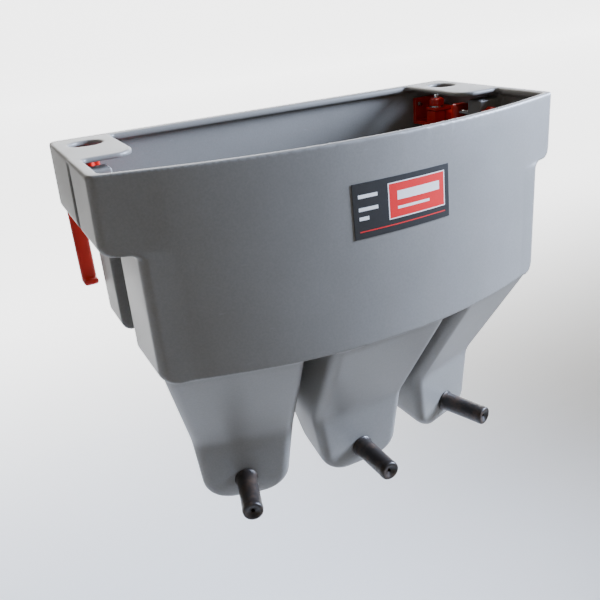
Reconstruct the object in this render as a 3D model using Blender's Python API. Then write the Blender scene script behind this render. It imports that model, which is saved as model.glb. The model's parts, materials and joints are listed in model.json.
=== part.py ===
"""Three-teat calf milk feeder that hangs on a gate rail.

Metres, +Z up, +X along the rail, +Y towards the rail and -Y towards the calves.
The origin is on the flat back of the tank, half way along it, at the height of the rail's centre line.
A drop is a depth below the rim, so z = RIM_Z - drop.
"""

import math

import bmesh
import bpy
from mathutils import Vector

# Tank plan
HALF_LENGTH = 0.300
TOE_IN = 0.004
FRONT_END = 0.2248
FRONT_BOW = 0.0604
SEAM_END = 0.225
SEAM_BOW = 0.0729
BOW_SAMPLES = 9
BOW_REACH = 0.234
WALL = 0.005
BACK_RADIUS = 0.010
HOOD_RADIUS = 0.010
LOWER_RADIUS = 0.012
SMALLEST_RADIUS = 0.003

# Tank heights, all drops below the rim
RIM_THICKNESS = 0.009
HOOD_DROP = 0.0839
HOOD_FLARE = 0.002
HOOD_ROUND = 0.012
UNDERSIDE_FALL = 0.001
SEAM_DROP = 0.2327
FLOOR_FALL = 0.005
LOWER_HALF = 0.2675
LOWER_ROUND = 0.014

# Rim and ledges
END_RIM = 0.013
BACK_RIM = 0.015
FRONT_RIM = 0.008
LEDGE_LENGTH = 0.073
LEDGE_THICKNESS = 0.006
LEDGE_DEPTH = 0.140
LEDGE_RADIUS = 0.024
LEDGE_HOLE = 0.039
LEDGE_HOLE_INSET = 0.0385
LEDGE_HOLE_Y = 0.050
MOUTH_FILLET = 0.006

# Partition groove in the hood's end, which opens into the lower end's recess
GROOVE_REAR = 0.1195
GROOVE_FRONT = 0.136
GROOVE_DEPTH = 0.039
GROOVE_DROP = RIM_THICKNESS + 2 * WALL
RECESS_REAR = 0.0752
RECESS_FRONT = 0.148
RECESS_DEPTH = 0.022

# Legs: places along the seam, widths and how far the face and the back stand behind the seam
LEG_SPREAD = 0.1916
LEG_YAW = 0.296
LEG_DROP = 0.473
LEG_TOP = 0.224
CREASE_DROP = 0.375
FACE_DROP = 0.430
BEND_REACH = 0.012
SEAM_INNER_HALF = 0.0798
SEAM_OUTER_HALF = 0.0785
CREASE_INNER_HALF = 0.0703
CREASE_OUTER_HALF = 0.0633
BOTTOM_INNER_HALF = 0.0556
BOTTOM_OUTER_HALF = 0.0548
SEAM_STEP = 0.005
CREASE_SETBACK = 0.0886
FACE_SETBACK = 0.0904
MIDDLE_BACK_TOP = 0.276
SIDE_BACK_TOP = 0.241
BACK_LOW_SETBACK = 0.148
LEG_RADIUS = 0.013
LEG_SIDE_ROUND = 0.034
LEG_FACE_ROUND = 0.010
LEG_ROUND_HEIGHT = 0.029
LEG_BOTTOM_TILT = 0.33
LEG_END_GAP = 0.002

# Teats
TEAT_DROP = 0.4403
TEAT_LENGTH = 0.069
TEAT_NECK = 0.024
TEAT_COLLAR = 0.031
TEAT_FLANGE = 0.032
TEAT_ROOT = 0.027
TEAT_TIP = 0.0262
TEAT_DIMPLE = 0.009
TEAT_DIMPLE_DEPTH = 0.0038
TEAT_OUTLET = 0.0036
TEAT_FLANGE_THICKNESS = 0.005
TEAT_LIP = 0.001
TEAT_COLLAR_THICKNESS = 0.0025
TEAT_ROOT_START = 0.006
TEAT_ROOT_END = 0.014
TEAT_TIP_START = 0.012
TEAT_TIP_ROUND = 0.003

# Label plate
LABEL_X = 0.0192
LABEL_WIDTH = 0.1296
LABEL_HEIGHT = 0.0605
LABEL_DROP = 0.0755
LABEL_THICKNESS = 0.0006

# Rail hook
RAIL_GAP = 0.040
HOOK_INSET = 0.0255
HOOK_WIDTH = 0.014
ARM_DROP = 0.036
ARM_HEIGHT = 0.016
ARM_INNER = 0.090
UPSTAND_DROP = 0.024
UPSTAND_THICKNESS = 0.014
UPSTAND_MARGIN = 0.008
LEG_THICKNESS = 0.012
HOOK_DROP = 0.2045
LIP_REACH = 0.011
LIP_HEIGHT = 0.010
LIP_CHAMFER = 0.003
HOOK_BEND = 0.008
HOOK_EDGE = 0.001
RAIL_PAD_LENGTH = 0.020
RAIL_PAD_THICKNESS = 0.0006

# Draw stud and its hand nut, along Y through the partition
STUD_INSET = 0.0355
STUD_DIAMETER = 0.008
STUD_DROP = 0.035
STUD_SOCKET = 0.012
STUD_TIP = 0.159
DRAW_KNOB = 0.026
DRAW_KNOB_LENGTH = 0.014
KNOB_LOBES = 5
KNOB_DIP = 0.003
KNOB_CHAMFER = 0.0015
TIP_CHAMFER = 0.001
WASHER_DIAMETER = 0.020
WASHER_THICKNESS = 0.0016

# Saddle, clamp shoe and lock bolt
SADDLE_INSET = 0.057
SADDLE_END_GAP = 0.004
SADDLE_TOP = 0.020
SADDLE_FRONT = 0.060
SADDLE_PLATE = 0.005
SADDLE_FLOOR = 0.006
POST_WIDTH = 0.020
SHOE_DEPTH = 0.024
SHOE_THICKNESS = 0.0043
SADDLE_EDGE = 0.0006
SHOE_EDGE = 0.0008
LOCK_INSET = 0.042
LOCK_Y = 0.042
LOCK_TIP = 0.0135
LOCK_KNOB = 0.022
LOCK_KNOB_LENGTH = 0.011
BOLT_HEAD = 0.016
BOLT_HEAD_HEIGHT = 0.0035
BOLT_HEAD_TAPER = 0.6
SCREW_DIAMETER = 0.0035
SCREW_LENGTH = 0.018
SCREW_HEAD = 0.008
SCREW_HEAD_HEIGHT = 0.0026
SCREW_HEAD_TAPER = 0.7
SCREW_DROP = 0.029
NUT_FLATS = 0.006
NUT_HEIGHT = 0.003

# Clearances
TOUCH = 0.0003
RUN = 0.0004
SLOT_CLEARANCE = 0.0005
CUT_PAST = 0.010
OVERLAP = 0.001

# Facets of the round parts
CORNER_STEPS = 3
LABEL_STEPS = 10
TEAT_SIDES = 20
WASHER_SIDES = 20
KNOB_SIDES = 30
STUD_SIDES = 16
SCREW_SIDES = 12
TEAT_HOLE_SIDES = 24
LEDGE_HOLE_SIDES = 28

# Places that follow the sizes above; an inset is a distance in from the tank's end
RIM_Z = ARM_DROP + ARM_HEIGHT + RAIL_GAP / 2
LEDGE_INNER_X = HALF_LENGTH - LEDGE_LENGTH
LEDGE_HOLE_X = HALF_LENGTH - LEDGE_HOLE_INSET
HOOK_X = HALF_LENGTH - HOOK_INSET
STUD_X = HALF_LENGTH - STUD_INSET
LOCK_X = HALF_LENGTH - LOCK_INSET
SADDLE_INNER_X = HALF_LENGTH - SADDLE_INSET
SADDLE_OUTER_X = HALF_LENGTH - TOE_IN - WALL - SADDLE_END_GAP


def clear_scene():
    """Remove every object that a new file starts with."""
    for old in list(bpy.data.objects):
        bpy.data.objects.remove(old, do_unlink=True)


def make_material(name, color, roughness, metallic=0.0):
    """A Principled material of one colour, given in linear RGB."""
    material = bpy.data.materials.new(name)
    material.use_nodes = True
    shader = material.node_tree.nodes["Principled BSDF"]
    shader.inputs["Base Color"].default_value = (*color, 1.0)
    shader.inputs["Roughness"].default_value = roughness
    shader.inputs["Metallic"].default_value = metallic
    return material


def polyethylene(name):
    """Grey rotomoulded polyethylene."""
    return make_material(name + "_material", (0.29, 0.30, 0.31), 0.45)


def red_plastic(name):
    """Red injection-moulded nylon."""
    return make_material(name + "_material", (0.58, 0.02, 0.01), 0.35)


def rubber(name):
    """Dark brown moulded rubber."""
    return make_material(name + "_material", (0.03, 0.02, 0.015), 0.5)


def stainless(name):
    """Stainless steel."""
    return make_material(name + "_material", (0.55, 0.55, 0.56), 0.3, 1.0)


def printed_film(name):
    """Dark laminated film."""
    return make_material(name + "_material", (0.05, 0.05, 0.05), 0.35)


def finish_object(name, bm, material, origin=(0.0, 0.0, 0.0)):
    """Turn a bmesh in part coordinates into an object whose origin is at the point given."""
    bmesh.ops.remove_doubles(bm, verts=bm.verts, dist=0.000001)
    bmesh.ops.recalc_face_normals(bm, faces=bm.faces)
    bmesh.ops.translate(bm, verts=bm.verts, vec=[-value for value in origin])
    mesh = bpy.data.meshes.new(name)
    bm.to_mesh(mesh)
    bm.free()
    thing = bpy.data.objects.new(name, mesh)
    thing.location = origin
    bpy.context.collection.objects.link(thing)
    if material is not None:
        mesh.materials.append(material)
    return thing


def smooth(thing, angle=math.radians(35)):
    """Shade a round piece smooth and keep its edges sharp."""
    for polygon in thing.data.polygons:
        polygon.use_smooth = True
    thing.data.set_sharp_from_angle(angle=angle)


def make_cutter(name, bm):
    """A hidden solid that only shapes another object."""
    cutter = finish_object(name, bm, None)
    cutter.hide_render = True
    cutter.display_type = 'WIRE'
    return cutter


def combine(thing, other, operation):
    """Join another object to this one, or cut it away."""
    step = thing.modifiers.new(operation.lower() + "_" + other.name, 'BOOLEAN')
    step.operation = operation
    step.solver = 'EXACT'
    step.object = other


def bevel(thing, width):
    """Chamfer every hard edge of an object."""
    step = thing.modifiers.new("eased_edges", 'BEVEL')
    step.width = width
    step.segments = 1
    step.limit_method = 'ANGLE'
    step.angle_limit = math.radians(40)


def box(low, high):
    """A box between two corners."""
    bm = bmesh.new()
    bmesh.ops.create_cube(bm, size=1.0)
    for vertex in bm.verts:
        vertex.co = [low[i] + (vertex.co[i] + 0.5) * (high[i] - low[i]) for i in range(3)]
    return bm


def loft(rings):
    """Skin closed rings of equal length and cap both ends."""
    bm = bmesh.new()
    rows = [[bm.verts.new(point) for point in ring] for ring in rings]
    count = len(rows[0])
    for upper, lower in zip(rows, rows[1:]):
        for i in range(count):
            j = (i + 1) % count
            bm.faces.new((upper[i], upper[j], lower[j], lower[i]))
    bm.faces.new(rows[0])
    bm.faces.new(list(reversed(rows[-1])))
    return bm


def turned(profile, segments, reach=None, hollow=False):
    """Turn a profile of (radius, height) about Z. A reach function can shape the outer radius."""
    bm = bmesh.new()
    rings = []
    for radius, height in profile:
        ring = []
        for i in range(segments):
            angle = 2 * math.pi * i / segments
            size = radius if reach is None else reach(radius, angle)
            ring.append(bm.verts.new((size * math.cos(angle), size * math.sin(angle), height)))
        rings.append(ring)
    pairs = list(zip(rings, rings[1:]))
    if hollow:
        pairs.append((rings[-1], rings[0]))
    for lower, upper in pairs:
        for i in range(segments):
            j = (i + 1) % segments
            bm.faces.new((lower[i], lower[j], upper[j], upper[i]))
    if not hollow:
        bm.faces.new(list(reversed(rings[0])))
        bm.faces.new(rings[-1])
    return bm


def aim(bm, direction, place):
    """Turn a solid made about Z so that it points along a direction, then move it."""
    turn = Vector(direction).to_track_quat('Z', 'Y').to_matrix()
    bmesh.ops.rotate(bm, verts=bm.verts, cent=(0, 0, 0), matrix=turn)
    bmesh.ops.translate(bm, verts=bm.verts, vec=place)
    return bm


def extruded(outline, start, end, axis):
    """Extrude a closed outline of two coordinates along X, Y or Z."""
    def point(pair, depth):
        place = list(pair)
        place.insert(axis, depth)
        return place
    return loft([[point(pair, start) for pair in outline], [point(pair, end) for pair in outline]])


def arc(center, radius, start, end, steps):
    """Points along an arc, with angles in degrees."""
    points = []
    for i in range(steps + 1):
        angle = math.radians(start + (end - start) * i / steps)
        points.append((center[0] + radius * math.cos(angle), center[1] + radius * math.sin(angle)))
    return points


def front_y(x, drop):
    """The bowed front of the tank, which is flatter at the seam than at the rim."""
    bulge = 1 - (x / HALF_LENGTH) ** 2
    rim = -(FRONT_END + FRONT_BOW * bulge)
    seam = -(SEAM_END + SEAM_BOW * bulge)
    return rim + (seam - rim) * drop / SEAM_DROP


def front_slope(x, drop):
    """How far the front moves in Y for each unit of X."""
    bow = FRONT_BOW + (SEAM_BOW - FRONT_BOW) * drop / SEAM_DROP
    return 2 * bow * x / HALF_LENGTH ** 2


def half_outline(half, drop, notch, inset, radius, margins=None):
    """The right half of a tank section, from the middle of the back to the middle of the front."""
    rear, front, depth = notch
    back_in, end_in, front_in = margins or (inset, inset, inset)
    end = half - end_in
    back_radius = max(BACK_RADIUS - inset, SMALLEST_RADIUS)
    front_radius = max(radius - inset, SMALLEST_RADIUS)
    back = -back_in
    points = [(0.0, back)]
    points += arc((end - back_radius, back - back_radius), back_radius, 90, 0, CORNER_STEPS)
    points.append((end, -rear + inset))
    points.append((end - depth, -rear + inset))
    points.append((end - depth, -front - inset))
    points.append((end, -front - inset))
    corner_x = end - front_radius
    slope = front_slope(corner_x, drop)
    tilt = math.degrees(math.atan(slope))
    lift = front_in * math.sqrt(1 + slope ** 2)
    corner_y = front_y(corner_x, drop) + lift + front_radius * math.cos(math.radians(tilt))
    points += arc((corner_x, corner_y), front_radius, 0, -90 + tilt, CORNER_STEPS)
    for i in range(BOW_SAMPLES + 1):
        x = BOW_REACH * (1 - i / BOW_SAMPLES)
        points.append((x, front_y(x, drop) + front_in * math.sqrt(1 + front_slope(x, drop) ** 2)))
    return points


def whole_outline(half_points):
    """Mirror a half outline and toe its ends in, so that the tank is a little shorter along the back."""
    left = [(-x, y) for x, y in reversed(half_points[1:-1])]
    toed = []
    for x, y in half_points + left:
        back_share = 1 + max(y, -FRONT_END) / FRONT_END
        toed.append((x * (1 - back_share * TOE_IN / HALF_LENGTH), y))
    return toed


def full_ring(half_points, height):
    """A whole outline with a height for each point, which may depend on Y."""
    return [(x, y, height(y)) for x, y in whole_outline(half_points)]


def level(drop):
    """A flat ring at a drop."""
    return lambda y: RIM_Z - drop


def floor_height(drop):
    """A ring that falls a little towards the back."""
    depth = SEAM_END + SEAM_BOW
    return lambda y: RIM_Z - drop - FLOOR_FALL * (1 + y / depth)


def tank_rings(inset):
    """Sections of the tank's outside, or of its cavity when there is an inset."""
    no_notch = (GROOVE_REAR, GROOVE_FRONT, 0.0)
    groove = (GROOVE_REAR, GROOVE_FRONT, GROOVE_DEPTH)
    recess = (RECESS_REAR, RECESS_FRONT, RECESS_DEPTH)
    rings = []

    def hood(drop, notch, extra=0.0):
        half = HALF_LENGTH + HOOD_FLARE * drop / HOOD_DROP - extra
        rings.append(full_ring(half_outline(half, drop, notch, inset, HOOD_RADIUS), level(drop)))

    def lower(drop, extra, height):
        outline = half_outline(LOWER_HALF - extra, drop, recess, inset, LOWER_RADIUS)
        rings.append(full_ring(outline, height))

    if inset:
        hood(RIM_THICKNESS, groove)
    else:
        hood(0.0, no_notch)
        hood(RIM_THICKNESS, no_notch)
        hood(GROOVE_DROP - OVERLAP, no_notch)
        hood(GROOVE_DROP, groove)
    round_size = HOOD_ROUND - inset
    under = HOOD_DROP - inset
    for i in range(4):
        angle = math.radians(30 * i)
        hood(under - round_size * (1 - math.sin(angle)), groove, round_size * (1 - math.cos(angle)))
    lower(under + UNDERSIDE_FALL, -WALL, level(under + UNDERSIDE_FALL))
    lower(under + WALL, 0.0, level(under + WALL))
    base = SEAM_DROP - inset
    turn = LOWER_ROUND - inset / 2
    for i in range(4):
        angle = math.radians(30 * i)
        drop = base - turn * (1 - math.sin(angle))
        lower(drop, turn * (1 - math.cos(angle)), floor_height(drop))
    return rings


def make_opening():
    """The mouth inside the rim, with the two rear ledges left standing."""
    margins = (BACK_RIM, END_RIM, FRONT_RIM)
    inner = half_outline(HALF_LENGTH, 0.0, (GROOVE_REAR, GROOVE_FRONT, 0.0), 0.0, HOOD_RADIUS, margins)
    front = [point for point in inner if point[1] < -LEDGE_DEPTH - LEDGE_RADIUS]
    edge = HALF_LENGTH - END_RIM
    middle = (LEDGE_INNER_X + LEDGE_RADIUS, -LEDGE_DEPTH + LEDGE_RADIUS)
    half = [(0.0, -BACK_RIM)]
    half += arc((LEDGE_INNER_X - MOUTH_FILLET, -BACK_RIM - MOUTH_FILLET), MOUTH_FILLET, 90, 0, 2)
    half += arc(middle, LEDGE_RADIUS, 180, 270, 4)
    half += arc((edge - MOUTH_FILLET, -LEDGE_DEPTH - MOUTH_FILLET), MOUTH_FILLET, 90, 0, 2)
    half += front
    return extruded(whole_outline(half), RIM_Z + CUT_PAST, RIM_Z - RIM_THICKNESS - WALL / 2, 2)


def between(value, stops):
    """Read a value from a list of (place, value) stops, in straight runs."""
    if value <= stops[0][0]:
        return stops[0][1]
    for (a, first), (b, second) in zip(stops, stops[1:]):
        if value <= b:
            return first + (second - first) * (value - a) / (b - a)
    return stops[-1][1]


def eased(value, stops):
    """The same with each bend drawn out over a short stretch."""
    ends = between(value - BEND_REACH, stops) + between(value + BEND_REACH, stops)
    return (ends + 2 * between(value, stops)) / 4


def leg_frame(side):
    """A leg's place on the seam, its outward direction and the direction along its face."""
    x = side * LEG_SPREAD
    yaw = side * LEG_YAW
    place = (x, front_y(x, SEAM_DROP))
    outward = (math.sin(yaw), -math.cos(yaw))
    along = (math.cos(yaw), math.sin(yaw))
    return place, outward, along


def leg_point(side, across, setback, drop):
    """A point given by its distance along the face, behind the seam and below the rim."""
    place, outward, along = leg_frame(side)
    x = place[0] + across * along[0] - setback * outward[0]
    y = place[1] + across * along[1] - setback * outward[1]
    return (x, y, RIM_Z - drop)


def leg_rings(side, inset):
    """Sections of one leg, from inside the tank down to its rounded foot. They stay behind the end wall."""
    widest = LOWER_HALF - LEG_END_GAP - inset
    inner = [(SEAM_DROP, SEAM_INNER_HALF), (CREASE_DROP, CREASE_INNER_HALF), (LEG_DROP, BOTTOM_INNER_HALF)]
    outer = [(SEAM_DROP, SEAM_OUTER_HALF), (CREASE_DROP, CREASE_OUTER_HALF), (LEG_DROP, BOTTOM_OUTER_HALF)]
    face = [(SEAM_DROP, SEAM_STEP), (CREASE_DROP, CREASE_SETBACK), (FACE_DROP, FACE_SETBACK),
            (LEG_DROP, FACE_SETBACK)]
    back_top = SIDE_BACK_TOP if side else MIDDLE_BACK_TOP
    back = [(SEAM_DROP, back_top), (LEG_DROP, BACK_LOW_SETBACK)]
    low = inner if side > 0 else outer if side < 0 else inner
    high = outer if side > 0 else inner
    bottom = LEG_DROP - inset
    height = LEG_ROUND_HEIGHT - inset
    side_round = LEG_SIDE_ROUND - inset
    face_round = LEG_FACE_ROUND - inset
    stations = [(drop, 0.0, 0.0) for drop in
                (LEG_TOP, SEAM_DROP, 0.300, 0.350, CREASE_DROP - BEND_REACH, CREASE_DROP,
                 CREASE_DROP + BEND_REACH, FACE_DROP, FACE_DROP + BEND_REACH, bottom - height)]
    for i in (1, 2, 3):
        angle = math.radians(30 * i)
        shrink = 1 - math.cos(angle)
        stations.append((bottom - height * (1 - math.sin(angle)), side_round * shrink, face_round * shrink))
    rings = []
    for drop, side_in, face_in in stations:
        left = -eased(drop, low) + inset + side_in
        right = eased(drop, high) - inset - side_in
        near = eased(drop, face) + inset + face_in
        far = between(drop, back) - inset - face_in
        radius = min(LEG_RADIUS - inset / 2, (far - near) / 2 - OVERLAP, (right - left) / 2 - OVERLAP)
        corners = [((right - radius, near + radius), -90, 0), ((right - radius, far - radius), 0, 90),
                   ((left + radius, far - radius), 90, 180), ((left + radius, near + radius), 180, 270)]
        outline = []
        for center, start, end in corners:
            outline += arc(center, radius, start, end, CORNER_STEPS)
        tilt = LEG_BOTTOM_TILT * between(drop, [(SEAM_DROP, 0.0), (bottom, 1.0)])
        ring = [leg_point(side, across, setback, drop - tilt * (setback - near))
                for across, setback in outline]
        rings.append([(max(-widest, min(widest, x)), y, z) for x, y, z in ring])
    return rings


def make_tank():
    """The one-piece rotomoulded tank."""
    tank = finish_object("tank", loft(tank_rings(0.0)), polyethylene("tank"))
    cavity = make_cutter("tank_cavity", loft(tank_rings(WALL)))
    for side, word in ((-1, "left"), (0, "middle"), (1, "right")):
        outside = make_cutter("leg_outside_" + word, loft(leg_rings(side, 0.0)))
        inside = make_cutter("leg_inside_" + word, loft(leg_rings(side, WALL)))
        combine(tank, outside, 'UNION')
        combine(cavity, inside, 'UNION')
    combine(tank, cavity, 'DIFFERENCE')
    combine(tank, make_cutter("mouth", make_opening()), 'DIFFERENCE')
    for side, word in ((-1, "left"), (0, "middle"), (1, "right")):
        combine(tank, make_cutter("teat_hole_" + word, teat_hole(side)), 'DIFFERENCE')
    for side, word in ((-1, "left"), (1, "right")):
        cut_bracket_holes(tank, side, word)
    return tank


def teat_hole(side):
    """The round hole that a teat's neck passes through."""
    radius = TEAT_NECK / 2 + TOUCH
    solid = turned([(radius, -WALL - CUT_PAST), (radius, CUT_PAST)], TEAT_HOLE_SIDES)
    _, outward, _ = leg_frame(side)
    return aim(solid, (*outward, 0.0), leg_point(side, 0.0, FACE_SETBACK, TEAT_DROP))


def make_teat(side, word):
    """A pull-through rubber teat with a flange inside the leg and a collar outside."""
    neck = TEAT_NECK / 2
    collar = TEAT_COLLAR / 2
    flange = TEAT_FLANGE / 2
    root = TEAT_ROOT / 2
    tip = TEAT_TIP / 2
    dimple = TEAT_DIMPLE / 2
    outlet = TEAT_OUTLET / 2
    inside = -WALL - TOUCH
    thick = TEAT_FLANGE_THICKNESS
    profile = [
        (outlet, inside - thick),
        (flange - TEAT_LIP, inside - thick),
        (flange, inside - thick * 0.6),
        (flange - TEAT_LIP, inside - thick * 0.3),
        (neck, inside),
        (neck, TOUCH),
        (collar, TOUCH),
        (collar, TEAT_COLLAR_THICKNESS),
        (root, TEAT_ROOT_START),
        (root, TEAT_ROOT_END),
        (tip + TEAT_LIP, TEAT_LENGTH - TEAT_TIP_START),
        (tip, TEAT_LENGTH - TEAT_TIP_ROUND),
        (tip - 2 * TEAT_LIP, TEAT_LENGTH),
        (dimple, TEAT_LENGTH),
        (dimple - TEAT_LIP, TEAT_LENGTH - TEAT_DIMPLE_DEPTH),
        (outlet, TEAT_LENGTH - TEAT_DIMPLE_DEPTH),
    ]
    _, outward, _ = leg_frame(side)
    origin = leg_point(side, 0.0, FACE_SETBACK, TEAT_DROP)
    solid = aim(turned(profile, TEAT_SIDES, hollow=True), (*outward, 0.0), origin)
    teat = finish_object("teat_" + word, solid, rubber("teat_" + word), origin)
    smooth(teat)


def make_label():
    """A thin printed plate that follows the bowed front."""
    rows = []
    back = TOUCH
    face = TOUCH + LABEL_THICKNESS
    for i in range(LABEL_STEPS + 1):
        x = LABEL_X + LABEL_WIDTH * (i / LABEL_STEPS - 0.5)
        stretch = math.sqrt(1 + front_slope(x, LABEL_DROP) ** 2)
        row = []
        for out, edge in ((back, -1), (back, 1), (face, 1), (face, -1)):
            drop = LABEL_DROP + edge * LABEL_HEIGHT / 2
            row.append((x, front_y(x, drop) - out * stretch, RIM_Z - drop))
        rows.append(row)
    finish_object("label", loft(rows), printed_film("label"))


def mirrored(bm, side):
    """Move a solid made for the right end to the end that is asked for."""
    for vertex in bm.verts:
        vertex.co.x *= side
    return bm


def cut_bracket_holes(tank, side, word):
    """Ledge hole, hook slot, stud holes and screw holes at one end of the tank."""
    relief = box((LEDGE_INNER_X - CUT_PAST, -LEDGE_DEPTH - CUT_PAST, RIM_Z - RIM_THICKNESS - WALL),
                 (HALF_LENGTH - END_RIM + WALL / 2, -BACK_RIM + WALL / 2, RIM_Z - LEDGE_THICKNESS))
    combine(tank, make_cutter("ledge_relief_" + word, mirrored(relief, side)), 'DIFFERENCE')
    hole_radius = LEDGE_HOLE / 2
    hole = turned([(hole_radius, -RIM_THICKNESS - WALL), (hole_radius, CUT_PAST)], LEDGE_HOLE_SIDES)
    aim(hole, (0, 0, 1), (LEDGE_HOLE_X, -LEDGE_HOLE_Y, RIM_Z))
    combine(tank, make_cutter("ledge_hole_" + word, mirrored(hole, side)), 'DIFFERENCE')
    slot_low, slot_high = arm_box(SLOT_CLEARANCE)
    slot = box((slot_low[0], -WALL - CUT_PAST, slot_low[2]), (slot_high[0], CUT_PAST, slot_high[2]))
    combine(tank, make_cutter("hook_slot_" + word, mirrored(slot, side)), 'DIFFERENCE')
    radius = STUD_DIAMETER / 2 + SLOT_CLEARANCE
    stud_hole = turned([(radius, 0.0), (radius, GROOVE_FRONT - GROOVE_REAR + 4 * WALL)], STUD_SIDES)
    aim(stud_hole, (0, -1, 0), (STUD_X, -GROOVE_REAR + 2 * WALL, RIM_Z - STUD_DROP))
    combine(tank, make_cutter("stud_hole_" + word, mirrored(stud_hole, side)), 'DIFFERENCE')
    for x, level_word in screw_places():
        radius = SCREW_DIAMETER / 2 + TOUCH
        screw_hole = turned([(radius, -CUT_PAST), (radius, WALL + CUT_PAST)], SCREW_SIDES)
        aim(screw_hole, (0, -1, 0), (x, 0.0, RIM_Z - SCREW_DROP))
        name = "screw_hole_" + level_word + "_" + word
        combine(tank, make_cutter(name, mirrored(screw_hole, side)), 'DIFFERENCE')


def screw_places():
    """X of the two screws that hold a saddle, with a word for each."""
    inner = (SADDLE_INNER_X + LOCK_X - POST_WIDTH / 2 + 2 * SCREW_DIAMETER) / 2
    return ((inner, "inner"), (HOOK_X, "outer"))


def arm_height():
    """Z of the middle of the hook's arm."""
    return RIM_Z - ARM_DROP - ARM_HEIGHT / 2


def arm_box(clearance):
    """Two corners around the hook's arm with a clearance all round it."""
    half = HOOK_WIDTH / 2 + clearance
    low = (HOOK_X - half, -ARM_INNER, RIM_Z - ARM_DROP - ARM_HEIGHT - clearance)
    high = (HOOK_X + half, RAIL_GAP, RIM_Z - ARM_DROP + clearance)
    return low, high


def make_hook(side, word):
    """The red hook: an arm with a pad that rests on the rail, a leg behind it, a lip and an end plate."""
    top = RIM_Z - ARM_DROP
    under = top - ARM_HEIGHT
    bottom = RIM_Z - HOOK_DROP
    outer = RAIL_GAP + LEG_THICKNESS
    lip = RAIL_GAP - LIP_REACH
    start = UPSTAND_THICKNESS / 2 - ARM_INNER
    outline = [(start, under), (start, top)]
    outline += arc((outer - HOOK_BEND, top - HOOK_BEND), HOOK_BEND, 90, 0, 3)
    outline += [(outer, bottom + LIP_CHAMFER), (outer - LIP_CHAMFER, bottom), (lip + LIP_CHAMFER, bottom)]
    outline += [(lip, bottom + LIP_CHAMFER), (lip, bottom + LIP_HEIGHT / 2), (RAIL_GAP, bottom + LIP_HEIGHT)]
    outline += [(RAIL_GAP, under - LIP_CHAMFER), (RAIL_GAP - LIP_CHAMFER, under)]
    right = HOOK_X + HOOK_WIDTH / 2
    solid = extruded(outline, HOOK_X - HOOK_WIDTH / 2, right, 0)
    origin = (side * HOOK_X, 0.0, arm_height())
    hook = finish_object("hook_" + word, mirrored(solid, side), red_plastic("hook_" + word), origin)
    plate = box((STUD_X - UPSTAND_MARGIN, -ARM_INNER, under),
                (right, UPSTAND_THICKNESS - ARM_INNER, RIM_Z - UPSTAND_DROP))
    combine(hook, make_cutter("hook_end_plate_" + word, mirrored(plate, side)), 'UNION')
    bevel(hook, HOOK_EDGE)
    pad_end = RAIL_GAP - LIP_CHAMFER - 3 * HOOK_EDGE
    pad = box((HOOK_X - HOOK_WIDTH / 2 + 2 * HOOK_EDGE, pad_end - RAIL_PAD_LENGTH, under - RAIL_PAD_THICKNESS),
              (right - 2 * HOOK_EDGE, pad_end, under + OVERLAP))
    combine(hook, make_cutter("rail_pad_" + word, mirrored(pad, side)), 'UNION')
    radius = STUD_DIAMETER / 2 + TOUCH
    socket = turned([(radius, -STUD_SOCKET), (radius, CUT_PAST)], STUD_SIDES)
    aim(socket, (0, -1, 0), (STUD_X, -ARM_INNER, RIM_Z - STUD_DROP))
    combine(hook, make_cutter("stud_socket_" + word, mirrored(socket, side)), 'DIFFERENCE')


def make_draw_stud(side, word):
    """The stainless stud that is set in the end of the hook's arm."""
    radius = STUD_DIAMETER / 2
    start = ARM_INNER - STUD_SOCKET + TOUCH
    profile = [(radius, start), (radius, STUD_TIP - TIP_CHAMFER), (radius - TIP_CHAMFER, STUD_TIP)]
    height = RIM_Z - STUD_DROP
    solid = aim(turned(profile, STUD_SIDES), (0, -1, 0), (STUD_X, 0.0, height))
    name = "draw_stud_" + word
    smooth(finish_object(name, mirrored(solid, side), stainless(name), (side * STUD_X, 0.0, height)))


def washer(bore, start):
    """A flat washer that starts at a height on its axis."""
    inner = bore / 2 + TOUCH
    outer = WASHER_DIAMETER / 2
    end = start + WASHER_THICKNESS
    return turned([(inner, start), (outer, start), (outer, end), (inner, end)], WASHER_SIDES, hollow=True)


def knob(diameter, length, start):
    """A five-lobed hand nut that starts at a height on its axis."""
    inner = STUD_DIAMETER / 2 + RUN
    outer = diameter / 2

    def reach(radius, angle):
        if radius < outer - 2 * KNOB_CHAMFER:
            return radius
        return radius - KNOB_DIP * (0.5 - 0.5 * math.cos(KNOB_LOBES * angle))

    end = start + length
    profile = [(inner, start), (outer - KNOB_CHAMFER, start), (outer, start + KNOB_CHAMFER)]
    profile += [(outer, end - KNOB_CHAMFER), (outer - KNOB_CHAMFER, end), (inner, end)]
    return turned(profile, KNOB_SIDES, reach, hollow=True)


def make_draw_nut(side, word):
    """The washer and the red hand nut that pull the hook in against the partition."""
    seat = GROOVE_FRONT + WALL + TOUCH
    height = RIM_Z - STUD_DROP
    origin = (side * STUD_X, -seat, height)
    flat = aim(washer(STUD_DIAMETER + 2 * RUN, seat), (0, -1, 0), (STUD_X, 0.0, height))
    name = "draw_washer_" + word
    smooth(finish_object(name, mirrored(flat, side), stainless(name), origin))
    start = seat + WASHER_THICKNESS + TOUCH
    grip = aim(knob(DRAW_KNOB, DRAW_KNOB_LENGTH, start), (0, -1, 0), (STUD_X, 0.0, height))
    name = "draw_nut_" + word
    smooth(finish_object(name, mirrored(grip, side), red_plastic(name), origin))


def shoe_top():
    """Drop of the clamp shoe's upper face."""
    return ARM_DROP - TOUCH - SHOE_THICKNESS


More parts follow.
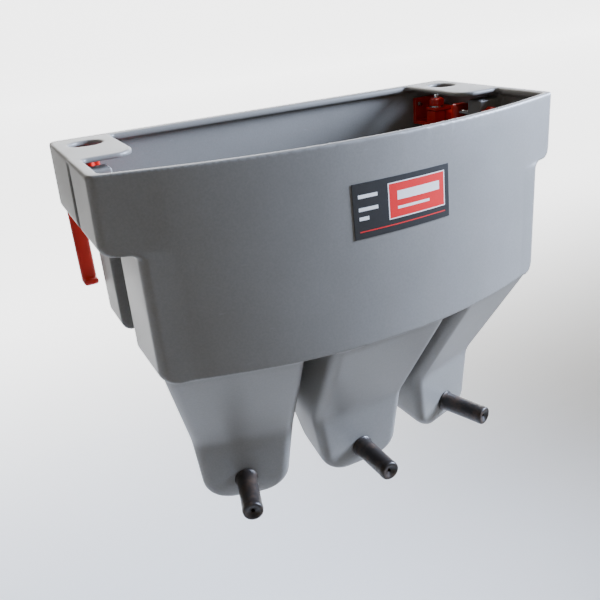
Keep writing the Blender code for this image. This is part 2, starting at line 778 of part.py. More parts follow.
def make_saddle(side, word):
    """The red guide behind the back wall: a plate, a floor under the arm and a post for the lock bolt."""
    name = "saddle_" + word
    arm_low, arm_high = arm_box(SLOT_CLEARANCE)
    floor_top = arm_low[2]
    floor_low = floor_top - SADDLE_FLOOR
    plate_face = -WALL - TOUCH
    plate = box((SADDLE_INNER_X, plate_face - SADDLE_PLATE, floor_low),
                (SADDLE_OUTER_X, plate_face, RIM_Z - SADDLE_TOP))
    saddle = finish_object(name, mirrored(plate, side), red_plastic(name))
    shelf = box((SADDLE_INNER_X + OVERLAP, -SADDLE_FRONT, floor_low + OVERLAP / 2),
                (SADDLE_OUTER_X - OVERLAP, plate_face - OVERLAP, floor_top))
    combine(saddle, make_cutter("saddle_shelf_" + word, mirrored(shelf, side)), 'UNION')
    half = POST_WIDTH / 2
    post = box((LOCK_X - half, -LOCK_Y - half, floor_low + OVERLAP),
               (arm_low[0], -LOCK_Y + half, RIM_Z - ARM_DROP - OVERLAP))
    combine(saddle, make_cutter("saddle_post_" + word, mirrored(post, side)), 'UNION')
    gate = box((arm_low[0], plate_face - SADDLE_PLATE - OVERLAP, floor_top),
               (SADDLE_OUTER_X + OVERLAP, plate_face + OVERLAP, arm_high[2]))
    combine(saddle, make_cutter("saddle_gate_" + word, mirrored(gate, side)), 'DIFFERENCE')
    radius = STUD_DIAMETER / 2 + TOUCH
    bolt_hole = turned([(radius, floor_low - CUT_PAST), (radius, RIM_Z)], STUD_SIDES)
    aim(bolt_hole, (0, 0, 1), (LOCK_X, -LOCK_Y, 0.0))
    combine(saddle, make_cutter("saddle_bolt_hole_" + word, mirrored(bolt_hole, side)), 'DIFFERENCE')
    for x, level_word in screw_places():
        radius = SCREW_DIAMETER / 2 + TOUCH
        hole = turned([(radius, 0.0), (radius, WALL + SADDLE_PLATE + CUT_PAST)], SCREW_SIDES)
        aim(hole, (0, -1, 0), (x, 0.0, RIM_Z - SCREW_DROP))
        cutter = make_cutter("saddle_screw_hole_" + level_word + "_" + word, mirrored(hole, side))
        combine(saddle, cutter, 'DIFFERENCE')
    bevel(saddle, SADDLE_EDGE)


def make_clamp_shoe(side, word):
    """The red plate that the lock nut presses down on the hook's arm."""
    name = "clamp_shoe_" + word
    top = RIM_Z - shoe_top()
    half = SHOE_DEPTH / 2
    plate = box((LOCK_X - POST_WIDTH / 2, -LOCK_Y - half, top - SHOE_THICKNESS),
                (HOOK_X + HOOK_WIDTH / 2, -LOCK_Y + half, top))
    shoe = finish_object(name, mirrored(plate, side), red_plastic(name))
    bevel(shoe, SHOE_EDGE)
    radius = STUD_DIAMETER / 2 + TOUCH
    hole = turned([(radius, -CUT_PAST), (radius, CUT_PAST)], STUD_SIDES)
    aim(hole, (0, 0, 1), (LOCK_X, -LOCK_Y, top))
    combine(shoe, make_cutter("shoe_hole_" + word, mirrored(hole, side)), 'DIFFERENCE')


def make_lock_bolt(side, word):
    """The upright bolt, its washer and the red hand nut that locks the hook's arm."""
    radius = STUD_DIAMETER / 2
    head = BOLT_HEAD / 2
    head_top = arm_box(SLOT_CLEARANCE)[0][2] - SADDLE_FLOOR - TOUCH
    head_low = head_top - BOLT_HEAD_HEIGHT
    tip = RIM_Z - LOCK_TIP
    profile = [(head * BOLT_HEAD_TAPER, head_low), (head, head_top - TIP_CHAMFER), (head, head_top)]
    profile += [(radius, head_top), (radius, tip - TIP_CHAMFER), (radius - TIP_CHAMFER, tip)]
    origin = (side * LOCK_X, -LOCK_Y, 0.0)
    name = "lock_bolt_" + word
    bolt = aim(turned(profile, STUD_SIDES), (0, 0, 1), (LOCK_X, -LOCK_Y, 0.0))
    smooth(finish_object(name, mirrored(bolt, side), stainless(name), origin))
    seat = RIM_Z - shoe_top() + TOUCH
    name = "lock_washer_" + word
    flat = aim(washer(STUD_DIAMETER + 2 * RUN, seat), (0, 0, 1), (LOCK_X, -LOCK_Y, 0.0))
    smooth(finish_object(name, mirrored(flat, side), stainless(name), origin))
    name = "lock_nut_" + word
    start = seat + WASHER_THICKNESS + TOUCH
    grip = aim(knob(LOCK_KNOB, LOCK_KNOB_LENGTH, start), (0, 0, 1), (LOCK_X, -LOCK_Y, 0.0))
    smooth(finish_object(name, mirrored(grip, side), red_plastic(name), origin))


def make_saddle_screws(side, word):
    """The screws through the back wall and their hexagon nuts inside."""
    radius = SCREW_DIAMETER / 2
    head = SCREW_HEAD / 2

    def hexagon(size, angle):
        if size <= radius + TOUCH:
            return size
        return size / math.cos((angle % (math.pi / 3)) - math.pi / 6)

    for x, level_word in screw_places():
        place = (x, 0.0, RIM_Z - SCREW_DROP)
        origin = (side * x, 0.0, place[2])
        profile = [(head * SCREW_HEAD_TAPER, -SCREW_HEAD_HEIGHT - TOUCH)]
        profile += [(head, -TOUCH - TIP_CHAMFER), (head, -TOUCH)]
        profile += [(radius, -TOUCH), (radius, SCREW_LENGTH)]
        name = "saddle_screw_" + level_word + "_" + word
        screw = aim(turned(profile, SCREW_SIDES), (0, -1, 0), place)
        smooth(finish_object(name, mirrored(screw, side), stainless(name), origin))
        start = WALL + TOUCH + SADDLE_PLATE + TOUCH
        bore = radius + TOUCH
        flats = NUT_FLATS / 2
        ring = [(bore, start), (flats, start), (flats, start + NUT_HEIGHT), (bore, start + NUT_HEIGHT)]
        name = "saddle_nut_" + level_word + "_" + word
        nut = aim(turned(ring, SCREW_SIDES, hexagon, hollow=True), (0, -1, 0), place)
        finish_object(name, mirrored(nut, side), stainless(name), origin)


def main():
    clear_scene()
    make_tank()
    make_label()
    for side, word in ((-1, "left"), (0, "middle"), (1, "right")):
        make_teat(side, word)
    for side, word in ((-1, "left"), (1, "right")):
        make_hook(side, word)
        make_draw_stud(side, word)
        make_draw_nut(side, word)
        make_saddle(side, word)
        make_clamp_shoe(side, word)
        make_lock_bolt(side, word)
        make_saddle_screws(side, word)


main()
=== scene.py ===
"""Looks of a calf milk feeder that hangs on a gate rail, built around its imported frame.

Metres. +X runs along the rail, +Y points from the flat back to the rail, and +Z is up.
"""

import json
import math

import bmesh
import bpy
from mathutils import Matrix, Vector


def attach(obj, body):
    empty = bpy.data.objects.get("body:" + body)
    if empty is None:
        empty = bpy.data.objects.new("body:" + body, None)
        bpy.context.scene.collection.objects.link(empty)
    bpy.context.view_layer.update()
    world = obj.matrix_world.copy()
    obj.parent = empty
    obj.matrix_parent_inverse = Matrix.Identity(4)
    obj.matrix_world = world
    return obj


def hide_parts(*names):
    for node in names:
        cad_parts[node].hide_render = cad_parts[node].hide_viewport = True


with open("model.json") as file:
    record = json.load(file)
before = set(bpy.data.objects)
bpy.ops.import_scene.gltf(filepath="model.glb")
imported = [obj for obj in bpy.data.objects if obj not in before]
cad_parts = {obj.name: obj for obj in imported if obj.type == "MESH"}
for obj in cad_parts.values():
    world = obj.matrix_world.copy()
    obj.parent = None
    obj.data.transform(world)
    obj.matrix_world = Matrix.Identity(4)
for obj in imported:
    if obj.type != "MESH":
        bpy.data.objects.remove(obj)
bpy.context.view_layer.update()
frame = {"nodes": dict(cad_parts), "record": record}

# Tank plan
RIM_Z = 0.072
HALF_LENGTH = 0.300
TOE_IN = 0.004
FRONT_END = 0.2248
FRONT_BOW = 0.0604
SEAM_END = 0.225
SEAM_BOW = 0.0729
BOW_SAMPLES = 36
BOW_REACH = 0.234
WALL = 0.005
BACK_RADIUS = 0.010
HOOD_RADIUS = 0.010
LOWER_RADIUS = 0.012
SMALLEST_RADIUS = 0.003

# Tank heights, all drops below the rim
RIM_THICKNESS = 0.009
RIM_TRIM = 0.00005
HOOD_DROP = 0.0839
HOOD_FLARE = 0.002
HOOD_ROUND = 0.012
HOOD_FILLET = 0.007
SEAM_DROP = 0.2327
FLOOR_FALL = 0.005
LOWER_HALF = 0.2675
LOWER_ROUND = 0.014

# Rim and ledges
END_RIM = 0.013
BACK_RIM = 0.015
FRONT_RIM = 0.008
LEDGE_LENGTH = 0.073
LEDGE_INNER_X = HALF_LENGTH - LEDGE_LENGTH
LEDGE_THICKNESS = 0.006
LEDGE_DEPTH = 0.140
LEDGE_RADIUS = 0.024
LEDGE_HOLE = 0.039
LEDGE_HOLE_INSET = 0.0385
LEDGE_HOLE_X = HALF_LENGTH - LEDGE_HOLE_INSET
LEDGE_HOLE_Y = 0.050
MOUTH_FILLET = 0.006

# Partition groove in the hood's end and recess in the lower end
GROOVE_REAR = 0.1195
GROOVE_FRONT = 0.136
GROOVE_DEPTH = 0.039
GROOVE_RUN_IN = 0.0022
GROOVE_RUN_IN_DROP = 0.004
GROOVE_DROP = RIM_THICKNESS + 2 * WALL
RECESS_REAR = 0.0752
RECESS_FRONT = 0.148
RECESS_DEPTH = 0.022

# Legs
LEG_SPREAD = 0.1916
LEG_YAW = 0.296
LEG_DROP = 0.473
LEG_TOP = 0.224
CREASE_DROP = 0.375
FACE_DROP = 0.430
BEND_REACH = 0.008
SEAM_INNER_HALF = 0.0798
SEAM_OUTER_HALF = 0.0785
CREASE_INNER_HALF = 0.0703
CREASE_OUTER_HALF = 0.0633
BOTTOM_INNER_HALF = 0.0556
BOTTOM_OUTER_HALF = 0.0548
SEAM_STEP = 0.005
CREASE_SETBACK = 0.0886
FACE_SETBACK = 0.0904
MIDDLE_BACK_TOP = 0.276
SIDE_BACK_TOP = 0.241
BACK_LOW_SETBACK = 0.148
LEG_RADIUS = 0.013
LEG_SIDE_ROUND = 0.034
LEG_FACE_ROUND = 0.010
LEG_ROUND_HEIGHT = 0.029
LEG_BOTTOM_TILT = 0.33
LEG_END_GAP = 0.002
LEG_STEP = 0.006
CORNER_STEPS = 9
EASE_SAMPLES = 4

# Teats
TEAT_DROP = 0.4403
TEAT_LENGTH = 0.069
TEAT_NECK = 0.024
TEAT_COLLAR = 0.031
TEAT_FLANGE = 0.032
TEAT_ROOT = 0.027
TEAT_TIP = 0.0262
TEAT_DISH = 0.0165
TEAT_DISH_DEPTH = 0.0026
TEAT_OUTLET = 0.005
TEAT_OUTLET_LIP = 0.0008
TEAT_OUTLET_START = 0.0032
TEAT_DISH_LIP = 0.0006
TEAT_DISH_STEP = 0.0004
TEAT_END_ROUND = 0.0026
TEAT_BEAD = 0.0003
TEAT_BEAD_REAR = 0.0068
TEAT_BEAD_FRONT = 0.0048
TEAT_BARREL_END = 0.008
TEAT_BARREL_STEPS = 12
TEAT_TAPER = 0.8
TEAT_ROOT_FLARE = 0.0006
TEAT_ROOT_START = 0.0042
TEAT_ROOT_END = 0.0065
TEAT_COLLAR_ROUND = 0.0011
TEAT_FLANGE_ROUND = 0.0022
TEAT_FLANGE_THICKNESS = 0.005
TEAT_SIDES = 56

# Label plate
LABEL_X = 0.0192
LABEL_WIDTH = 0.1296
LABEL_HEIGHT = 0.0605
LABEL_DROP = 0.0755
LABEL_FACE = 0.0009
LABEL_BACK = 0.0003

# Print on the label, each field as left, low, right and high from the plate's lower left corner
LABEL_PANEL = (0.0440, 0.0140, 0.1232, 0.0542)
LABEL_FIELD = (0.0452, 0.0152, 0.1220, 0.0530)
LABEL_FIELD_BARS = ((0.0560, 0.0340, 0.1150, 0.0440), (0.0560, 0.0240, 0.1000, 0.0270))
LABEL_SIDE_BARS = ((0.0065, 0.0440, 0.0305, 0.0480), (0.0065, 0.0300, 0.0305, 0.0340),
                   (0.0065, 0.0200, 0.0185, 0.0240))
LABEL_LINE = (0.0065, 0.0070, 0.1232, 0.0082)
LABEL_BOW_COLUMNS = (0.0022, 0.0390, 0.0700, 0.0850, 0.1274)
LABEL_BOW_ROWS = (0.0020, 0.0390, 0.0585)
LABEL_DARK, LABEL_RED, LABEL_WHITE = 0, 1, 2

# Hook and its draw stud
HOOK_INSET = 0.0255
HOOK_X = HALF_LENGTH - HOOK_INSET
HOOK_WIDTH = 0.014
ARM_TOP = 0.036
ARM_UNDER = 0.020
ARM_FRONT = -0.090
PLATE_BACK = -0.076
PLATE_TOP = 0.048
PLATE_INNER_X = 0.2565
RAIL_GAP = 0.040
HOOK_BACK = 0.052
HOOK_FOOT = -0.1325
LIP_TOP = -0.1235
LIP_FRONT = 0.029
HOOK_ROUND = 0.0042
HOOK_FLARE = 0.003
HOOK_FLARE_DROP = 0.006
STUD_INSET = 0.0355
STUD_X = HALF_LENGTH - STUD_INSET
STUD_Z = 0.037

# Hand nuts
STUD_DIAMETER = 0.008
NUT_BORE = 0.0088
DRAW_KNOB = 0.026
DRAW_KNOB_LENGTH = 0.014
DRAW_KNOB_START = 0.1432
LOCK_KNOB = 0.022
LOCK_KNOB_LENGTH = 0.011
LOCK_KNOB_START = 0.0428
LOCK_INSET = 0.042
LOCK_X = HALF_LENGTH - LOCK_INSET
LOCK_Y = 0.042
KNOB_LOBES = 5
KNOB_DIP = 0.003
KNOB_ROUND = 0.0022
KNOB_WAVE = 1.5
KNOB_BOSS = 0.0026
KNOB_BOSS_SLOPE = 0.0012
KNOB_BOSS_HEIGHT = 0.001
KNOB_BORE_CHAMFER = 0.0004
KNOB_SIDES = 90

# Making
TOUCH = 0.0003
SLOT_CLEARANCE = 0.0005
CUT_PAST = 0.010
OVERLAP = 0.001
CUTTER_SIDES = 24
VOXEL = 0.0019
FACE_LIMIT = 186000

# Camera, from a fit to the photograph's edges
CAMERA_PLACE = (-0.417338, -0.897988, 0.218264)
CAMERA_RIGHT = (0.878893, -0.470892, -0.076209)
CAMERA_UP = (0.254007, 0.326763, 0.910333)
FOCAL_PIXELS = 699.132
IMAGE_PIXELS = 600
SENSOR = 36.0
CLIP_NEAR = 0.01
CLIP_FAR = 200.0

# Studio
FLOOR_Z = -0.95
FLOOR_SIZE = 24.0
FLOOR_WIDTH = 60.0
BACKDROP_HEIGHT = 9.0
BACKDROP_SWEEP = 3.0
GLOW_START = 0.1
GLOW_END = 2.2
GLOW_STRENGTH = 3.4
GLOW_LEFT_START = -1.5
GLOW_LEFT_END = -0.45
GLOW_LEFT_SHARE = 0.03
ROOM_TINT = "#fff9f0"
ROOM_STRENGTH = 0.19
LAMP_AIM = (0.0, -0.12, -0.1)

# Lamps: name, place, width, power in watts, tint and spread in degrees
LAMPS = (("key_right", (1.9, -0.75, 0.72), 1.0, 43.0, "#cfe0ff", 60),
         ("left_end", (-1.7, 0.5, 0.9), 0.9, 2.0, "#fff6ea", 180),
         ("top_back", (0.1, 1.2, 1.8), 1.0, 40.0, "#ffffff", 180))

SIDES = ((-1, "left"), (1, "right"))
PLACES = ((-1, "left"), (0, "middle"), (1, "right"))


# Meshes and steps

def make_active(thing):
    """Select one object alone."""
    bpy.ops.object.select_all(action='DESELECT')
    thing.select_set(True)
    bpy.context.view_layer.objects.active = thing


def apply_step(thing, kind, **settings):
    """Add one modifier, set it and apply it."""
    step = thing.modifiers.new(kind.lower(), kind)
    for name, value in settings.items():
        setattr(step, name, value)
    make_active(thing)
    bpy.ops.object.modifier_apply(modifier=step.name)


def mesh_object(name, bm):
    """Turn a bmesh in place into an object at the origin."""
    bmesh.ops.remove_doubles(bm, verts=bm.verts, dist=0.000001)
    bmesh.ops.recalc_face_normals(bm, faces=bm.faces)
    mesh = bpy.data.meshes.new(name)
    bm.to_mesh(mesh)
    bm.free()
    thing = bpy.data.objects.new(name, mesh)
    bpy.context.collection.objects.link(thing)
    return thing


def combine(thing, other, operation):
    """Join another closed object to this one, or cut it away, and remove the other."""
    apply_step(thing, 'BOOLEAN', operation=operation, solver='MANIFOLD', object=other)
    bpy.data.objects.remove(other, do_unlink=True)


def box(low, high):
    """A box between two corners."""
    bm = bmesh.new()
    bmesh.ops.create_cube(bm, size=1.0)
    for vertex in bm.verts:
        vertex.co = [low[i] + (vertex.co[i] + 0.5) * (high[i] - low[i]) for i in range(3)]
    return bm


def loft(rings):
    """Skin closed rings of equal length and cap both ends."""
    bm = bmesh.new()
    rows = [[bm.verts.new(point) for point in ring] for ring in rings]
    count = len(rows[0])
    for upper, lower in zip(rows, rows[1:]):
        for i in range(count):
            j = (i + 1) % count
            bm.faces.new((upper[i], upper[j], lower[j], lower[i]))
    bm.faces.new(rows[0])
    bm.faces.new(list(reversed(rows[-1])))
    return bm


def round_cutter(name, radius, start, end, direction, place, side=1):
    """A cylinder along a direction, from one distance to another past its place."""
    turn = Vector(direction).to_track_quat('Z', 'Y').to_matrix()
    last = 360 - 360 / CUTTER_SIDES
    rings = []
    for height in (end, start):
        ring = [Vector((x, y, height)) for x, y in arc((0, 0), radius, 0, last, CUTTER_SIDES - 1)]
        rings.append([turn @ point + Vector(place) for point in ring])
    bm = loft(rings)
    mirror(bm, side)
    return mesh_object(name, bm)


def mirror(bm, side):
    """Move what was made for the right end to the end asked for."""
    for vertex in bm.verts:
        vertex.co.x *= side
    return bm


def arc(center, radius, start, end, steps):
    """Points along an arc, with angles in degrees."""
    points = []
    for i in range(steps + 1):
        angle = math.radians(start + (end - start) * i / steps)
        points.append((center[0] + radius * math.cos(angle), center[1] + radius * math.sin(angle)))
    return points


def finish(thing, *materials):
    """Give a piece its materials and nothing else."""
    thing.data.materials.clear()
    for material in materials:
        thing.data.materials.append(material)


def ride_with(thing, body, material_slot, *nodes):
    """Say which body a piece rides on and which CAD nodes it stands for. Its material_slot is not used."""
    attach(thing, body)
    if nodes:
        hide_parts(*nodes)


# Tank shape

def front_y(x, drop):
    """The bowed front of the tank, which is flatter at the rim than at the seam."""
    bulge = 1 - (x / HALF_LENGTH) ** 2
    rim = -(FRONT_END + FRONT_BOW * bulge)
    seam = -(SEAM_END + SEAM_BOW * bulge)
    return rim + (seam - rim) * drop / SEAM_DROP


def front_slope(x, drop):
    """How far the front moves in Y for each unit of X."""
    bow = FRONT_BOW + (SEAM_BOW - FRONT_BOW) * drop / SEAM_DROP
    return 2 * bow * x / HALF_LENGTH ** 2


def half_outline(half, drop, notch, inset, radius, margins=None):
    """The right half of a tank section, from the middle of the back to the middle of the front."""
    rear, front, depth = notch
    back_in, end_in, front_in = margins or (inset, inset, inset)
    end = half - end_in
    back_radius = max(BACK_RADIUS - inset, SMALLEST_RADIUS)
    front_radius = max(radius - inset, SMALLEST_RADIUS)
    back = -back_in
    points = [(0.0, back)]
    points += arc((end - back_radius, back - back_radius), back_radius, 90, 0, CORNER_STEPS)
    points.append((end, -rear + inset))
    points.append((end - depth, -rear + inset))
    points.append((end - depth, -front - inset))
    points.append((end, -front - inset))
    corner_x = end - front_radius
    slope = front_slope(corner_x, drop)
    tilt = math.degrees(math.atan(slope))
    lift = front_in * math.sqrt(1 + slope ** 2)
    corner_y = front_y(corner_x, drop) + lift + front_radius * math.cos(math.radians(tilt))
    points += arc((corner_x, corner_y), front_radius, 0, -90 + tilt, CORNER_STEPS)
    for i in range(BOW_SAMPLES + 1):
        x = BOW_REACH * (1 - i / BOW_SAMPLES)
        points.append((x, front_y(x, drop) + front_in * math.sqrt(1 + front_slope(x, drop) ** 2)))
    return points


def whole_outline(half_points):
    """Mirror a half outline and toe its ends in, so that the tank is a little shorter along the back."""
    left = [(-x, y) for x, y in reversed(half_points[1:-1])]
    toed = []
    for x, y in half_points + left:
        back_share = 1 + max(y, -FRONT_END) / FRONT_END
        toed.append((x * (1 - back_share * TOE_IN / HALF_LENGTH), y))
    return toed


def tank_rings(inset):
    """Sections of the tank's outside, or of its cavity when there is an inset."""
    no_notch = (GROOVE_REAR, GROOVE_FRONT, 0.0)
    groove = (GROOVE_REAR, GROOVE_FRONT, GROOVE_DEPTH)
    recess = (RECESS_REAR, RECESS_FRONT, RECESS_DEPTH)
    rings = []

    def hood(drop, notch, extra=0.0):
        half = HALF_LENGTH + HOOD_FLARE * drop / HOOD_DROP - extra
        outline = whole_outline(half_outline(half, drop, notch, inset, HOOD_RADIUS))
        rings.append([(x, y, RIM_Z - drop) for x, y in outline])

    def lower(drop, extra, fall):
        outline = whole_outline(half_outline(LOWER_HALF - extra, drop, recess, inset, LOWER_RADIUS))
        depth = SEAM_END + SEAM_BOW
        rings.append([(x, y, RIM_Z - drop - fall * (1 + y / depth)) for x, y in outline])

    if inset:
        hood(RIM_THICKNESS, groove)
    else:
        hood(0.0, no_notch)
        hood(RIM_THICKNESS, no_notch)
        hood(GROOVE_DROP - OVERLAP, no_notch)
        hood(GROOVE_DROP, groove)
    round_size = HOOD_ROUND - inset
    under = HOOD_DROP - inset
    for i in range(CORNER_STEPS + 1):
        angle = math.pi / 2 * i / CORNER_STEPS
        hood(under - round_size * (1 - math.sin(angle)), groove, round_size * (1 - math.cos(angle)))
    fillet = HOOD_FILLET if not inset else HOOD_FILLET + inset
    for i in range(CORNER_STEPS + 1):
        angle = math.pi / 2 * i / CORNER_STEPS
        extra = -fillet * (1 - math.sin(angle))
        lower(under + OVERLAP + fillet * (1 - math.cos(angle)), extra, 0.0)
    base = SEAM_DROP - inset
    turn = LOWER_ROUND - inset / 2
    for i in range(CORNER_STEPS + 1):
        angle = math.pi / 2 * i / CORNER_STEPS
        lower(base - turn * (1 - math.sin(angle)), turn * (1 - math.cos(angle)), FLOOR_FALL)
    return rings


def mouth_rings():
    """The opening inside the rim, with the two rear ledges left standing."""
    margins = (BACK_RIM, END_RIM, FRONT_RIM)
    inner = half_outline(HALF_LENGTH, 0.0, (GROOVE_REAR, GROOVE_FRONT, 0.0), 0.0, HOOD_RADIUS, margins)
    front = [point for point in inner if point[1] < -LEDGE_DEPTH - LEDGE_RADIUS]
    edge = HALF_LENGTH - END_RIM
    middle = (LEDGE_INNER_X + LEDGE_RADIUS, -LEDGE_DEPTH + LEDGE_RADIUS)
    half = [(0.0, -BACK_RIM)]
    half += arc((LEDGE_INNER_X - MOUTH_FILLET, -BACK_RIM - MOUTH_FILLET), MOUTH_FILLET, 90, 0, CORNER_STEPS)
    half += arc(middle, LEDGE_RADIUS, 180, 270, CORNER_STEPS)
    half += arc((edge - MOUTH_FILLET, -LEDGE_DEPTH - MOUTH_FILLET), MOUTH_FILLET, 90, 0, CORNER_STEPS)
    half += front
    outline = whole_outline(half)
    low = RIM_Z - RIM_THICKNESS - WALL / 2
    return [[(x, y, height) for x, y in outline] for height in (RIM_Z + CUT_PAST, low)]


def between(value, stops):
    """Read a value from a list of (place, value) stops, in straight runs."""
    if value <= stops[0][0]:
        return stops[0][1]
    for (a, first), (b, second) in zip(stops, stops[1:]):
        if value <= b:
            return first + (second - first) * (value - a) / (b - a)
    return stops[-1][1]


def eased(value, stops):
    """The same with each bend drawn out over a short stretch."""
    samples = [between(value + BEND_REACH * k / EASE_SAMPLES, stops)
               for k in range(-EASE_SAMPLES, EASE_SAMPLES + 1)]
    return sum(samples) / len(samples)


def leg_frame(side):
    """A leg's place on the seam, its outward direction and the direction along its face."""
    x = side * LEG_SPREAD
    yaw = side * LEG_YAW
    place = (x, front_y(x, SEAM_DROP))
    return place, (math.sin(yaw), -math.cos(yaw)), (math.cos(yaw), math.sin(yaw))


def leg_point(side, across, setback, drop):
    """A point given by its distance along the face, behind the seam and below the rim."""
    place, outward, along = leg_frame(side)
    x = place[0] + across * along[0] - setback * outward[0]
    y = place[1] + across * along[1] - setback * outward[1]
    return (x, y, RIM_Z - drop)


def leg_rings(side, inset):
    """Sections of one leg, from inside the tank down to its rounded foot. They stay behind the end wall."""
    widest = LOWER_HALF - LEG_END_GAP - inset
    inner = [(SEAM_DROP, SEAM_INNER_HALF), (CREASE_DROP, CREASE_INNER_HALF), (LEG_DROP, BOTTOM_INNER_HALF)]
    outer = [(SEAM_DROP, SEAM_OUTER_HALF), (CREASE_DROP, CREASE_OUTER_HALF), (LEG_DROP, BOTTOM_OUTER_HALF)]
    face = [(SEAM_DROP, SEAM_STEP), (CREASE_DROP, CREASE_SETBACK), (FACE_DROP, FACE_SETBACK),
            (LEG_DROP, FACE_SETBACK)]
    back = [(SEAM_DROP, SIDE_BACK_TOP if side else MIDDLE_BACK_TOP), (LEG_DROP, BACK_LOW_SETBACK)]
    low = outer if side < 0 else inner
    high = outer if side > 0 else inner
    bottom = LEG_DROP - inset
    height = LEG_ROUND_HEIGHT - inset
    straight = bottom - height
    count = round((straight - LEG_TOP) / LEG_STEP)
    stations = [(LEG_TOP + (straight - LEG_TOP) * i / count, 0.0, 0.0) for i in range(count + 1)]
    for i in range(1, CORNER_STEPS + 1):
        angle = math.pi / 2 * i / CORNER_STEPS
        shrink = 1 - math.cos(angle)
        drop = bottom - height * (1 - math.sin(angle))
        stations.append((drop, (LEG_SIDE_ROUND - inset) * shrink, (LEG_FACE_ROUND - inset) * shrink))
    rings = []
    for drop, side_in, face_in in stations:
        left = -eased(drop, low) + inset + side_in
        right = eased(drop, high) - inset - side_in
        near = eased(drop, face) + inset + face_in
        far = between(drop, back) - inset - face_in
        radius = min(LEG_RADIUS - inset / 2, (far - near) / 2 - OVERLAP, (right - left) / 2 - OVERLAP)
        corners = [((right - radius, near + radius), -90, 0), ((right - radius, far - radius), 0, 90),
                   ((left + radius, far - radius), 90, 180), ((left + radius, near + radius), 180, 270)]
        outline = []
        for center, start, end in corners:
            outline += arc(center, radius, start, end, CORNER_STEPS)
        tilt = LEG_BOTTOM_TILT * between(drop, [(SEAM_DROP, 0.0), (bottom, 1.0)])
        ring = [leg_point(side, across, setback, drop - tilt * (setback - near))
                for across, setback in outline]
        rings.append([(max(-widest, min(widest, x)), y, z) for x, y, z in ring])
    return rings


def cut_bracket_holes(tank, side, word):
    """Ledge underside and hole, the groove's shallow top, hook slot and stud hole at one end."""
    relief = box((LEDGE_INNER_X - CUT_PAST, -LEDGE_DEPTH - CUT_PAST, RIM_Z - RIM_THICKNESS - WALL),
                 (HALF_LENGTH - END_RIM + WALL / 2, -BACK_RIM + WALL / 2, RIM_Z - LEDGE_THICKNESS))
    combine(tank, mesh_object("ledge_relief_" + word, mirror(relief, side)), 'DIFFERENCE')
    run_in = box((HALF_LENGTH - TOE_IN / 2 - GROOVE_RUN_IN, -GROOVE_FRONT, RIM_Z - GROOVE_DROP - OVERLAP),
                 (HALF_LENGTH + CUT_PAST, -GROOVE_REAR, RIM_Z - GROOVE_RUN_IN_DROP))
    combine(tank, mesh_object("groove_run_in_" + word, mirror(run_in, side)), 'DIFFERENCE')
    hole = round_cutter("ledge_hole_" + word, LEDGE_HOLE / 2, -RIM_THICKNESS - WALL, CUT_PAST,
                        (0, 0, 1), (LEDGE_HOLE_X, -LEDGE_HOLE_Y, RIM_Z), side)
    combine(tank, hole, 'DIFFERENCE')
    half = HOOK_WIDTH / 2 + SLOT_CLEARANCE
    slot = box((HOOK_X - half, -WALL - CUT_PAST, ARM_UNDER - SLOT_CLEARANCE),
               (HOOK_X + half, CUT_PAST, ARM_TOP + SLOT_CLEARANCE))
    combine(tank, mesh_object("hook_slot_" + word, mirror(slot, side)), 'DIFFERENCE')
    stud_hole = round_cutter("stud_hole_" + word, STUD_DIAMETER / 2 + SLOT_CLEARANCE, 0.0,
                             GROOVE_FRONT - GROOVE_REAR + 4 * WALL,
                             (0, -1, 0), (STUD_X, -GROOVE_REAR + 2 * WALL, STUD_Z), side)
    combine(tank, stud_hole, 'DIFFERENCE')


def make_tank():
    """The one-piece rotomoulded tank: lofted walls and legs, then every edge melted to a soft round."""
    tank = mesh_object("tank_shell", loft(tank_rings(0.0)))
    cavity = mesh_object("tank_cavity", loft(tank_rings(WALL)))
    for side, word in PLACES:
        combine(tank, mesh_object("leg_outside_" + word, loft(leg_rings(side, 0.0))), 'UNION')
        combine(cavity, mesh_object("leg_inside_" + word, loft(leg_rings(side, WALL))), 'UNION')
    combine(tank, cavity, 'DIFFERENCE')
    combine(tank, mesh_object("mouth", loft(mouth_rings())), 'DIFFERENCE')
    for side, word in PLACES:
        _, outward, _ = leg_frame(side)
        place = leg_point(side, 0.0, FACE_SETBACK, TEAT_DROP)
        hole = round_cutter("teat_hole_" + word, TEAT_NECK / 2 + TOUCH, -WALL - CUT_PAST, CUT_PAST,
                            (*outward, 0.0), place)
        combine(tank, hole, 'DIFFERENCE')
    for side, word in SIDES:
        cut_bracket_holes(tank, side, word)
    apply_step(tank, 'REMESH', mode='VOXEL', voxel_size=VOXEL)
    apply_step(tank, 'SMOOTH', factor=0.5, iterations=3)
    for vertex in tank.data.vertices:
        vertex.co.z = min(vertex.co.z, RIM_Z - RIM_TRIM)
    ratio = min(1.0, FACE_LIMIT / (2 * len(tank.data.polygons)))
    apply_step(tank, 'DECIMATE', ratio=ratio)
    make_active(tank)
    bpy.ops.object.shade_smooth()
    finish(tank, rotomoulded_polyethylene())
    ride_with(tank, "tank", "polyethylene", "tank")


# Turned pieces

def spun(name, profile, sides):
    """Spin a closed profile of (radius, height) about Z, as a lathe would."""
    mesh = bpy.data.meshes.new(name)
    count = len(profile)
    mesh.from_pydata([(radius, 0.0, height) for radius, height in profile],
                     [(i, (i + 1) % count) for i in range(count)], [])
    thing = bpy.data.objects.new(name, mesh)
    bpy.context.collection.objects.link(thing)
    make_active(thing)
    bpy.ops.object.mode_set(mode='EDIT')
    bpy.ops.mesh.select_all(action='SELECT')
    bpy.ops.mesh.spin(steps=sides, angle=2 * math.pi, center=(0, 0, 0), axis=(0, 0, 1))
    bpy.ops.mesh.select_all(action='SELECT')
    bpy.ops.mesh.remove_doubles(threshold=0.00001)
    bpy.ops.mesh.normals_make_consistent(inside=False)
    bpy.ops.object.mode_set(mode='OBJECT')
    return thing


